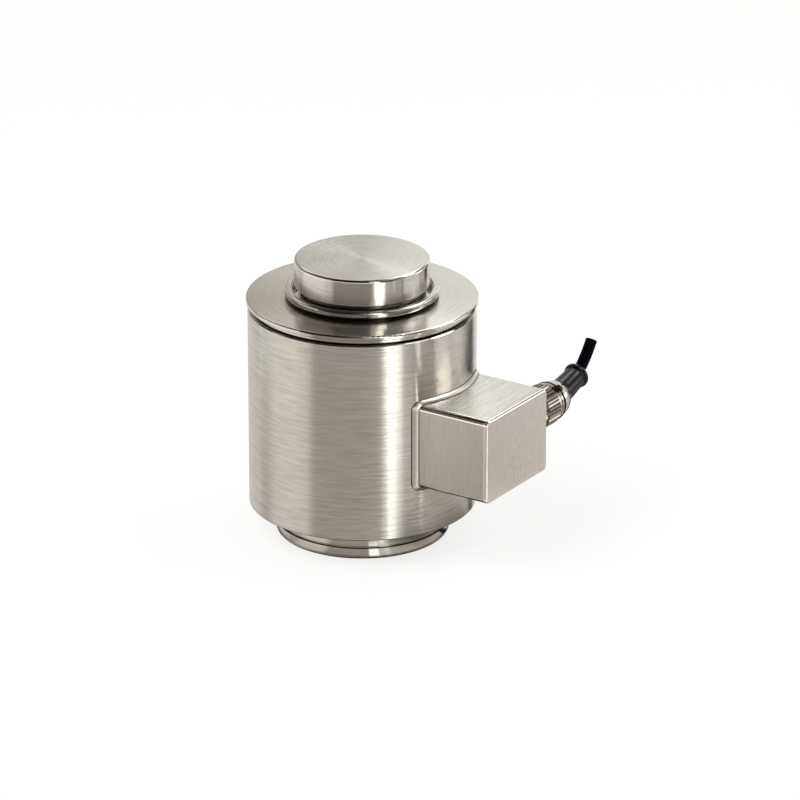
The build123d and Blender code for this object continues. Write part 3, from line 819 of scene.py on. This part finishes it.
finishes = {
    "load_column": column_steel,
    "top_plate": plate_steel,
    "bottom_plate": base_steel,
    "casing": casing_steel,
    "top_diaphragm": thin_steel,
    "box_shell": shell_steel,
    "box_end_plate": end_steel,
    "gland_body": gland_metal,
    "gland_cap": cap_metal,
    "gland_washer": gland_metal,
    "gland_lock_nut": gland_metal,
}
print("steel for", len(finishes), "nodes and the weld")

# %% [markdown]
# ## Rubber, plastic and the parts inside
#
# Black rubber is never black all over: it is a very dark grey, duller where it has been handled,
# with a fine skin from its mould. The parts inside are plain, but each has the finish that such
# parts have, for anyone who takes the casing away.

# %% Function: a soft or moulded finish
moulded_mark_size = 180.0
glossy_share = 0.9
dull_share = 1.1


def moulded(name, base, roughness, grains, microns, variation=0.3, metallic=0.0, specular=0.5):
    """A moulded skin: cloudy colour between two shades of base, uneven gloss, and a fine bump with
    so many grains in a metre and so many microns deep."""
    light = (*base, 1.0)
    shade = (*(channel * (1.0 - variation) for channel in base), 1.0)
    settings = {"Base Color": light, "Roughness": roughness, "Metallic": metallic}
    finish, tree, shader = new_finish(name, {**settings, "Specular IOR Level": specular})
    marks = use_group(tree, smudge_group, {"Size": moulded_mark_size})
    colour = mix(tree, "RGBA", marks, light, shade)
    rough = remap(tree, marks, 0.0, 1.0, roughness * glossy_share, roughness * dull_share)
    skin = bumped(tree, noise(tree, place_in(tree), grains, 3.0), microns * MICRON)
    tree.links.new(colour, shader.inputs["Base Color"])
    tree.links.new(rough, shader.inputs["Roughness"])
    tree.links.new(skin, shader.inputs["Normal"])
    return finish


print("moulded finish ready")

# %% The other finishes
black_rubber = moulded("black_rubber", (0.002, 0.002, 0.002), 0.4, 4000.0, 10, specular=0.05)
boot_rubber = moulded("boot_rubber", (0.003, 0.002, 0.004), 0.25, 3500.0, 3, specular=0.24)
sheath_plastic = moulded("cable_sheath_plastic", (0.001, 0.001, 0.003), 0.3, 2500.0, 3, specular=0.03)
finishes |= {"gland_face_seal": black_rubber, "gland_seal": black_rubber}
# finish's name, colour, roughness, grains in a metre, their depth in microns, variation, metallic
inside_finishes = {
    "strain_gauges": ("gauge_film", (0.55, 0.28, 0.07), 0.3, 900.0, 10, 0.3, 0.0),
    "gauge_terminals": ("tinned_copper", (0.62, 0.6, 0.58), 0.3, 1500.0, 20, 0.1, 1.0),
    "solder_pins": ("tinned_pin", (0.62, 0.6, 0.56), 0.25, 1500.0, 10, 0.1, 1.0),
    "gauge_leads": ("lead_coat", (0.45, 0.03, 0.02), 0.4, 1500.0, 10, 0.3, 0.0),
    "box_harness": ("harness_coat", (0.3, 0.3, 0.3), 0.45, 1500.0, 10, 0.3, 0.0),
    "cable_cores": ("core_coat", (0.5, 0.4, 0.05), 0.4, 1500.0, 10, 0.3, 0.0),
    "bridge_board": ("bridge_board_mask", (0.02, 0.16, 0.06), 0.3, 700.0, 20, 0.3, 0.0),
    "terminal_board": ("terminal_board_mask", (0.02, 0.16, 0.06), 0.3, 700.0, 20, 0.3, 0.0),
    "board_posts": ("post_brass", (0.6, 0.42, 0.16), 0.3, 1200.0, 10, 0.15, 1.0),
    "board_standoffs": ("standoff_brass", (0.6, 0.42, 0.16), 0.3, 1200.0, 10, 0.15, 1.0),
    "port_bushing": ("bushing_plastic", (0.75, 0.74, 0.68), 0.4, 900.0, 20, 0.08, 0.0),
    "trim_resistors": ("resistor_lacquer", (0.2, 0.36, 0.5), 0.3, 900.0, 20, 0.3, 0.0),
}
for node, arguments in inside_finishes.items():
    finishes[node] = moulded(*arguments)
for name, finish in finishes.items():
    mesh = nodes[name].data
    mesh.materials.clear()
    mesh.materials.append(finish)
own_finishes = {cable: sheath_plastic, cable_boot: boot_rubber, weld: weld_steel, gland_ring: black_rubber}
for piece, finish in own_finishes.items():
    piece.data.materials.append(finish)
print(f"{len(finishes) + len(own_finishes)} pieces have their own finish")

# %% [markdown]
# ## The studio
#
# Bare metal shows its surroundings, so the studio is half of its look. The piece stands on a pale
# floor in a white room. Round it is a light tent, the way small polished parts are photographed:
# white cloth, a bright upright strip light, and grey and black cards that draw the dark bands.
# The tent is seen only in reflections, and its brightness is worked out for each of its points
# from a list of panels, as azimuth from the camera and elevation above the piece's middle.

# %% Panels of the light tent
cloth_level = 0.80
# azimuth, half width, lowest and highest elevation, soft border (all in degrees), brightness
tent_panels = [
    (-84, 24, -90, 10, 16, 0.88),
    (-114, 10, -90, 10, 12, 0.62),
    (-22, 32, -90, -4, 12, 0.44),
    (12, 8, -90, -4, 6, 0.46),
    (-16, 34, -12, -4, 2, 0.22),
    (44, 10, -90, 14, 5, 0.70),
    (37, 4, -90, 14, 6, 1.05),
    (30.3, 4.4, -47, -10, 1.2, 1.7),
    (17, 7, -90, -47, 3, 2.0),
    (71, 14, -90, 14, 8, 0.36),
    (71, 14, -90, -19, 5, 0.68),
    (95, 10, -90, 14, 6, 0.42),
    (92, 13, -90, -21, 5, 0.60),
    (122, 14, -90, 14, 6, 0.66),
    (56.6, 1.7, -19, -11.6, 0.8, 0.0),
    (60.1, 1.6, -19, -11.6, 0.8, 4.0),
    (142.5, 7.0, -90, 14, 1.5, 0.0),
    (156, 6, -90, 10, 3, 0.95),
    (-68, 82, 15, 92, 4, 0.02),
    (-100, 50, 13, 27, 4, 0.36),
    (-80, 28, 37, 44, 3, 0.4),
    (0, 180, 62, 92, 6, 0.03),
    (-30, 75, -4, 13, 4, 1.5),
    (72, 28, -4, 13, 4, 0.85),
    (56, 17, -11.6, -4, 3, 0.60),
    (-95, 28, -11.6, -4, 2, 1.15),
    (97, 20, -11.6, -4, 2, 0.9),
    (31, 9.5, -11.6, -4, 1.5, 2.2),
    (29.5, 6.5, -4, 34, 1.5, 3.2),
    (64, 28, 13, 50, 3, 0.12),
    (112, 19, 14, 26, 4, 0.95),
    (122, 21, 25, 45, 3, 0.04),
    (74, 14, 50, 66, 4, 2.0),
    (108, 9, 2, 14, 3, 3.0),
    (150, 10, 0, 26, 5, 1.4),
    (-158, 24, 13, 36, 5, 0.48),
    (181, 6, 13, 36, 6, 0.63),
    (176, 3, 13, 36, 4, 0.95),
    (163, 12, 13, 40, 4, 0.99),
    (-158, 24, 27, 36, 4, 0.54),
    (181, 6, 27, 36, 5, 0.96),
    (173, 6, 27, 36, 4, 1.3),
    (-150, 20, 36, 50, 6, 1.3),
    (160, 10, 40, 56, 6, 6.0),
    (101, 12, 38, 54, 6, 10.0),
]
print(f"{len(tent_panels)} panels, the brightest {max(panel[-1] for panel in tent_panels)}")

# %% Functions: the tent's surface and its panels
tent_radius = 0.6
tent_middle = 60.0 * MM
tent_clear = 40.5 * MM
tent_floor_gap = 0.4 * MM
floor_ring_share = 0.99
tent_top = 89.0
tent_columns = 1200
floor_rows = 150
dome_rows = 150


def tent_surface():
    """Points of a ring on the floor and of a dome over it, one surface of revolution, and each row's
    radius and height. On the floor the radii grow by an equal factor, so rows are finest at the foot."""
    floor_radius = np.geomspace(tent_clear, tent_radius * floor_ring_share, floor_rows)
    start = -np.arcsin((tent_middle - tent_floor_gap) / tent_radius)
    climb = np.linspace(start, radians(tent_top), dome_rows)
    radius = np.concatenate([floor_radius, tent_radius * np.cos(climb)])[:, None]
    dome_height = tent_middle + tent_radius * np.sin(climb)
    height = np.concatenate([np.full(floor_rows, tent_floor_gap), dome_height])[:, None]
    angle = np.arange(tent_columns) * tau / tent_columns
    x, y = radius * np.cos(angle), radius * np.sin(angle)
    return np.stack([x, y, np.broadcast_to(height, x.shape)], axis=2), radius, height


def soft_window(value, low, high, soft):
    """1 from low to high and 0 outside, with a smooth border as wide as soft over each of the two."""
    rises = smooth_step(value, low - soft / 2, low + soft / 2)
    return rises * (1.0 - smooth_step(value, high - soft / 2, high + soft / 2))


def panel_light(azimuth, elevation):
    """Start with the cloth and lay each panel over it, by the share that its soft borders give."""
    level = np.full(azimuth.shape, cloth_level)
    for middle, half, low, high, soft, brightness in tent_panels:
        off = (azimuth - middle + 180.0) % 360.0 - 180.0
        share = soft_window(off, -half, half, soft) * soft_window(elevation, low, high, soft)
        level = level * (1.0 - share) + brightness * share
    return level


print("tent of", floor_rows + dome_rows, "rows")

# %% [markdown]
# The low panels are the upright bands on the casing. Laid out by plain azimuth they would lean,
# because the round casing shows a point of the floor close by in another place than a point of
# the cloth behind it. So each low point's azimuth is traded for the one in which it is shown.

# %% Function: azimuth in the casing's mirror
mirror_low = -4.0
mirror_high = 12.0
mirror_limit = 0.95
mirror_rounds = 12


def mirrored_azimuth(azimuth, distance):
    """The azimuth to which the casing turns the camera's view that lands on a point of the tent.
    A wall that faces azimuth f sends it along 2f from a place f on the casing, so the landing
    point's own azimuth is t = 2f - arcsin(casing radius x sin f / distance). A few rounds of
    2f = t + arcsin(...) solve it. Bands laid out in 2f are upright on the casing at any height."""
    offset = np.minimum(casing_radius / distance, mirror_limit)
    double = azimuth
    for _ in range(mirror_rounds):
        double = azimuth + np.degrees(np.arcsin(offset * np.sin(np.radians(double) / 2)))
    return double


print(f"azimuths are mirrored below {mirror_low:.0f} degrees")

# %% [markdown]
# The piece stands in its own light: the floor is a little darker round it, nearly black where the
# foot meets it, and dark below the box. The steel shows all three, so the tent's floor has the
# same shades. The tent's dim parts and its left side are a warmer white than the rest, as the
# cards and walls of a real studio are.

# %% Shades and tints of the tent
foot_shade = 0.85
shade_reach = 75.0 * MM
contact_shade = 0.04
contact_near = 40.8 * MM
contact_far = 43.0 * MM
box_shade = 0.05
box_shade_x = (49.0 * MM, 81.0 * MM)
box_shade_y = (-43.0 * MM, 43.0 * MM)
box_shade_soft = 10.0 * MM
cool_white = np.array([1.0, 1.01, 0.98])
warm_white = np.array([1.0, 0.895, 0.82])
warm_share = 0.55
warm_start = (-104.0, -98.0)
warm_end = (-12.0, 8.0)
warm_top = 12.0
dim_range = (0.35, 1.0)


def floor_shade(points, distance, on_floor):
    """Share of the light that is left: foot's wide shade x dark line round it x box's shade."""
    wide = foot_shade + (1.0 - foot_shade) * smooth_step(distance, tent_clear, shade_reach)
    contact = contact_shade + (1.0 - contact_shade) * smooth_step(distance, contact_near, contact_far)
    under_box = soft_window(points[:, :, 0], *box_shade_x, box_shade_soft)
    under_box = under_box * soft_window(points[:, :, 1], *box_shade_y, box_shade_soft)
    return wide * contact * (1.0 - (1.0 - box_shade) * under_box * on_floor)


def tent_tint(level, azimuth, elevation):
    """From cool to warm white by the larger of two shares: how dim it is, and the warm left side."""
    left = smooth_step(azimuth, *warm_start) * (1.0 - smooth_step(azimuth, *warm_end))
    warmth = np.maximum(1.0 - smooth_step(level, *dim_range), warm_share * left * (elevation < warm_top))
    return cool_white + warmth[:, :, None] * (warm_white - cool_white)


def tent_glow(points, radius, height):
    """Red, green and blue of each point: the panels' light, less the shade, times the tint."""
    on_floor = height <= tent_floor_gap
    distance = np.where(on_floor, radius, tent_radius)
    elevation = np.degrees(np.arctan2(height - tent_middle, radius))
    azimuth = np.degrees(np.arctan2(points @ camera_right, points @ camera_towards))
    low_share = 1.0 - smooth_step(elevation, mirror_low, mirror_high)
    azimuth += low_share * (mirrored_azimuth(azimuth, distance) - azimuth)
    level = panel_light(azimuth, elevation) * floor_shade(points, distance, on_floor)
    return level[:, :, None] * tent_tint(level, azimuth, elevation)


print(f"floor shaded to {shade_reach / MM:.0f} mm from the axis")

# %% Light tent


def glowing_finish(name):
    """Start a material with no nodes, whose glow isn't sampled as a lamp, and return its tree."""
    finish = bpy.data.materials.new(name)
    finish.use_nodes = True
    finish.node_tree.nodes.clear()
    finish.cycles.emission_sampling = "NONE"
    return finish, finish.node_tree


points, radius, height = tent_surface()
tent = mesh_from_grid("light_tent", points, wrap_columns=True)
glow = np.ones((len(tent.data.vertices), 4))
glow[:, :3] = tent_glow(points, radius, height).reshape(-1, 3)
attribute = tent.data.attributes.new("glow", "FLOAT_COLOR", "POINT")
attribute.data.foreach_set("color", glow.ravel())

tent_cloth, tree = glowing_finish("tent_cloth")
colour = add_node(tree, "Attribute", attribute_name="glow").outputs["Color"]
emission = add_node(tree, "Emission", {"Color": colour, "Strength": 1.0})
add_node(tree, "OutputMaterial", {"Surface": emission.outputs[0]})
tent.data.materials.append(tent_cloth)
for ray in ("camera", "diffuse", "shadow", "transmission", "volume_scatter"):
    setattr(tent, "visible_" + ray, False)
print(f"light tent of {len(tent.data.vertices)} points")

# %% [markdown]
# The floor keeps the piece's soft shadow, and is otherwise as white as the room behind it. That
# white isn't more light on the piece: Light Path tells the rays apart. The floor adds its white
# to camera rays only. The room is fully white to camera, glossy and transmission rays, and gives
# less light to the rest.

# %% Floor and room
floor_half = 8.0
room_white = (1.0, 1.0, 0.985, 1.0)
floor_paint = (0.8, 0.8, 0.79, 1.0)
floor_white_share = 0.8
room_light = 0.75

corners = floor_half * np.array([[-1, -1, 0], [1, -1, 0], [-1, 1, 0], [1, 1, 0]], float)
floor = mesh_from_grid("floor", corners.reshape(2, 2, 3))
floor_finish, tree = glowing_finish("floor_finish")
seen = add_node(tree, "LightPath").outputs
share = maths(tree, "MULTIPLY", seen["Is Camera Ray"], floor_white_share)
paint = add_node(tree, "BsdfDiffuse", {"Color": floor_paint})
white = add_node(tree, "Emission", {"Color": room_white, "Strength": 1.0})
mixed = add_node(tree, "MixShader", {0: share, 1: paint.outputs[0], 2: white.outputs[0]})
add_node(tree, "OutputMaterial", {"Surface": mixed.outputs[0]})
floor.data.materials.append(floor_finish)

world = bpy.data.worlds.new("room")
bpy.context.scene.world = world
world.use_nodes = True
tree = world.node_tree
background = tree.nodes["Background"]
background.inputs["Color"].default_value = room_white
seen = add_node(tree, "LightPath").outputs
white_rays = maths(tree, "MAXIMUM", seen["Is Camera Ray"], seen["Is Glossy Ray"])
white_rays = maths(tree, "MAXIMUM", white_rays, seen["Is Transmission Ray"])
tree.links.new(remap(tree, white_rays, 0.0, 1.0, room_light, 1.0), background.inputs["Strength"])
bpy.context.scene.view_settings.view_transform = "Standard"
print("floor and room are white")

# %% [markdown]
# A broad lamp high on the left and a weaker one on the right give the shadow its softness, and
# the rubber its roundness. They are large and near, as soft boxes are.

# %% Soft lamps
# azimuth from the camera and elevation in degrees, distance and size in metres, power in watts
soft_boxes = [
    ("left_box", -60, 50, 1.4, 1.0, 16.0),
    ("right_box", 100, 40, 1.4, 0.8, 8.0),
]
for name, azimuth, elevation, distance, size, power in soft_boxes:
    swing, rise = radians(azimuth), radians(elevation)
    level_way = camera_towards * cos(swing) + camera_right * sin(swing)
    lamp_way = level_way * cos(rise) + np.array([0.0, 0.0, sin(rise)])
    lamp = bpy.data.objects.new(name, bpy.data.lights.new(name, "AREA"))
    bpy.context.scene.collection.objects.link(lamp)
    lamp.data.size = size
    lamp.data.energy = power
    lamp.location = aim + distance * lamp_way
    lamp.rotation_euler = (pi / 2 - rise, 0.0, atan2(lamp_way[1], lamp_way[0]) + pi / 2)
    lamp.visible_camera = False
    lamp.visible_glossy = False
print(len(soft_boxes), "soft boxes")

# %% The last line
bpy.context.view_layer.update()
